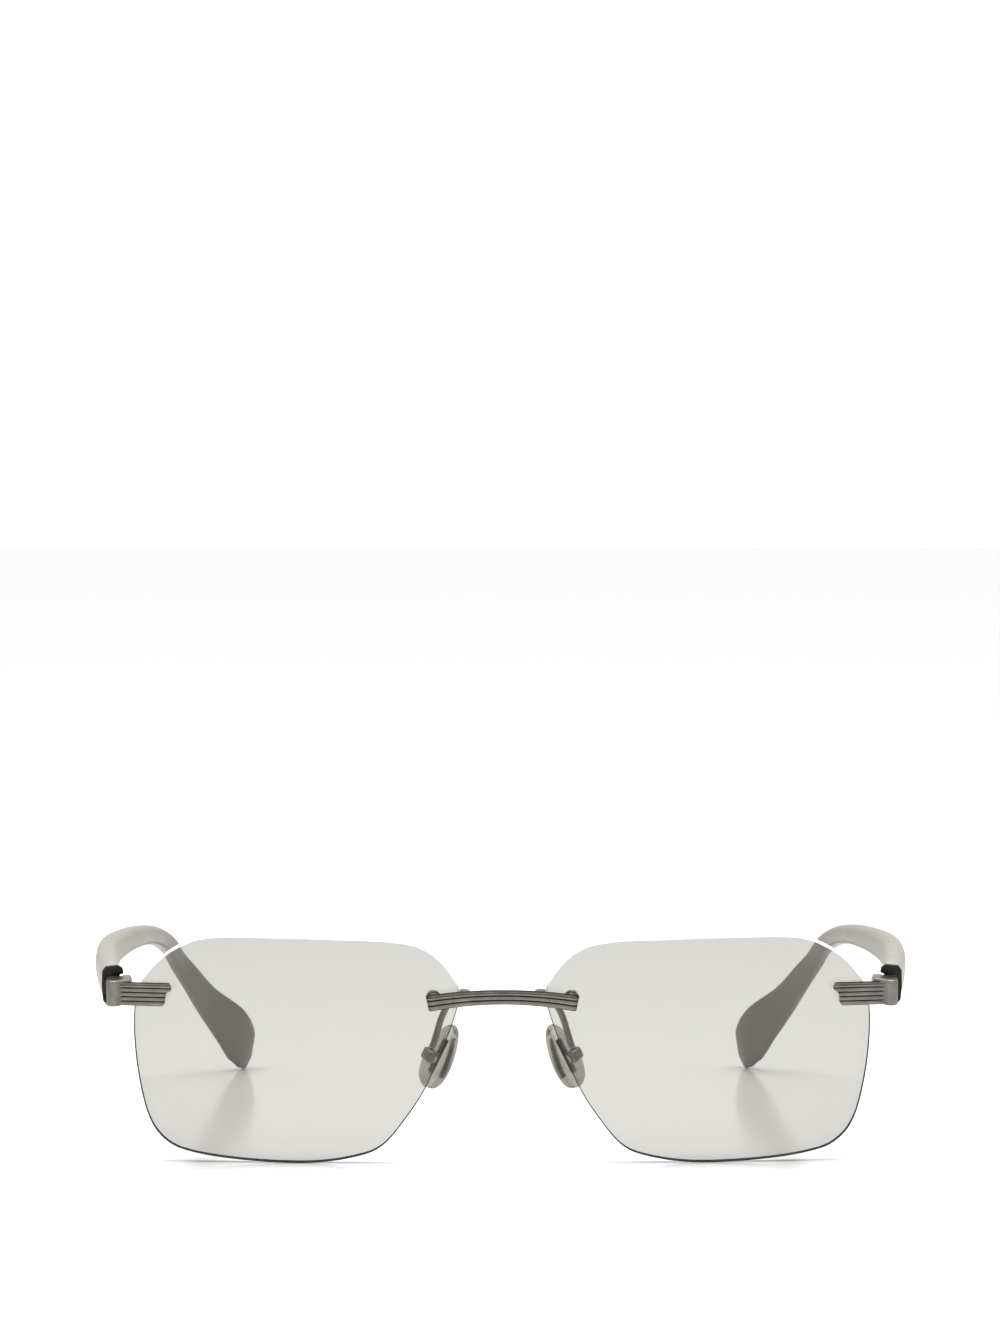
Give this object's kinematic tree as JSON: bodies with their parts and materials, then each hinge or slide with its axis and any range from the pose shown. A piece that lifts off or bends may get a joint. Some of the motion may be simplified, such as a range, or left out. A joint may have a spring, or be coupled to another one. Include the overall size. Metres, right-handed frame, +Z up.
{
  "type": "rimless eyeglasses",
  "caption": "Rimless spectacles: two drilled lenses on a reeded metal bridge and end pieces, adjustable nose pads, and moulded temples that fold on screwed hinges.",
  "frame": {"origin": "middle of the bounding box's footprint, on the surface that the lenses' lower edges and the temple tips stand on", "axes": "+X towards the wearer's left, across the lenses (longest extent); +Y from the lenses back along the open temples; +Z up (shortest extent); the lenses lean 8 degrees"},
  "size_m": [0.1472, 0.1351, 0.041],
  "materials": {
    "lens_tint": "clear, very light grey-brown tint, polished",
    "pewter": "satin pewter plating over titanium",
    "dark_metal": "dark satin plating",
    "steel": "bright machined stainless steel",
    "acetate": "milky grey-beige, soft sheen",
    "silicone": "clear soft silicone",
    "clear_plastic": "clear"
  },
  "bodies": {
    "front": {"bridge": "pewter", "end_piece_left": "pewter", "end_piece_right": "pewter", "hinge_screw_left": "steel", "hinge_screw_right": "steel", "lens_bushing_nasal_left": "clear_plastic", "lens_bushing_nasal_right": "clear_plastic", "lens_bushing_temporal_left": "clear_plastic", "lens_bushing_temporal_right": "clear_plastic", "lens_left": "lens_tint", "lens_nut_nasal_left": "pewter", "lens_nut_nasal_right": "pewter", "lens_nut_temporal_left": "pewter", "lens_nut_temporal_right": "pewter", "lens_right": "lens_tint", "lens_washer_nasal_left": "steel", "lens_washer_nasal_right": "steel", "lens_washer_temporal_left": "steel", "lens_washer_temporal_right": "steel", "pad_arm_left": "pewter", "pad_arm_right": "pewter", "pad_box_left": "pewter", "pad_box_right": "pewter", "pad_screw_left": "steel", "pad_screw_right": "steel"},
    "temple_left": {"temple_left": "acetate", "temple_core_left": "steel", "temple_cap_left": "dark_metal"},
    "nose_pad_left": {"nose_pad_left": "silicone", "pad_core_left": "dark_metal"},
    "temple_right": {"temple_right": "acetate", "temple_core_right": "steel", "temple_cap_right": "dark_metal"},
    "nose_pad_right": {"nose_pad_right": "silicone", "pad_core_right": "dark_metal"}
  },
  "joints": [
    {"name": "temple_hinge_left", "type": "hinge", "parent": "front", "child": "temple_left", "pos_m": [0.0663, -0.05886, 0.03086], "axis": [0, -0.1392, 0.9903], "range_deg": [0, 82]},
    {"name": "temple_hinge_right", "type": "hinge", "parent": "front", "child": "temple_right", "pos_m": [-0.0663, -0.05886, 0.03086], "axis": [0, 0.1392, -0.9903], "range_deg": [0, 74]},
    {"name": "nose_pad_rock_left", "type": "hinge", "parent": "front", "child": "nose_pad_left", "pos_m": [0.0126, -0.05785, 0.01899], "axis": [0.558, 0.7441, 0.3673], "range_deg": [-8, 8]},
    {"name": "nose_pad_rock_right", "type": "hinge", "parent": "front", "child": "nose_pad_right", "pos_m": [-0.0126, -0.05785, 0.01899], "axis": [0.558, -0.7441, -0.3673], "range_deg": [-8, 8]}
  ]
}
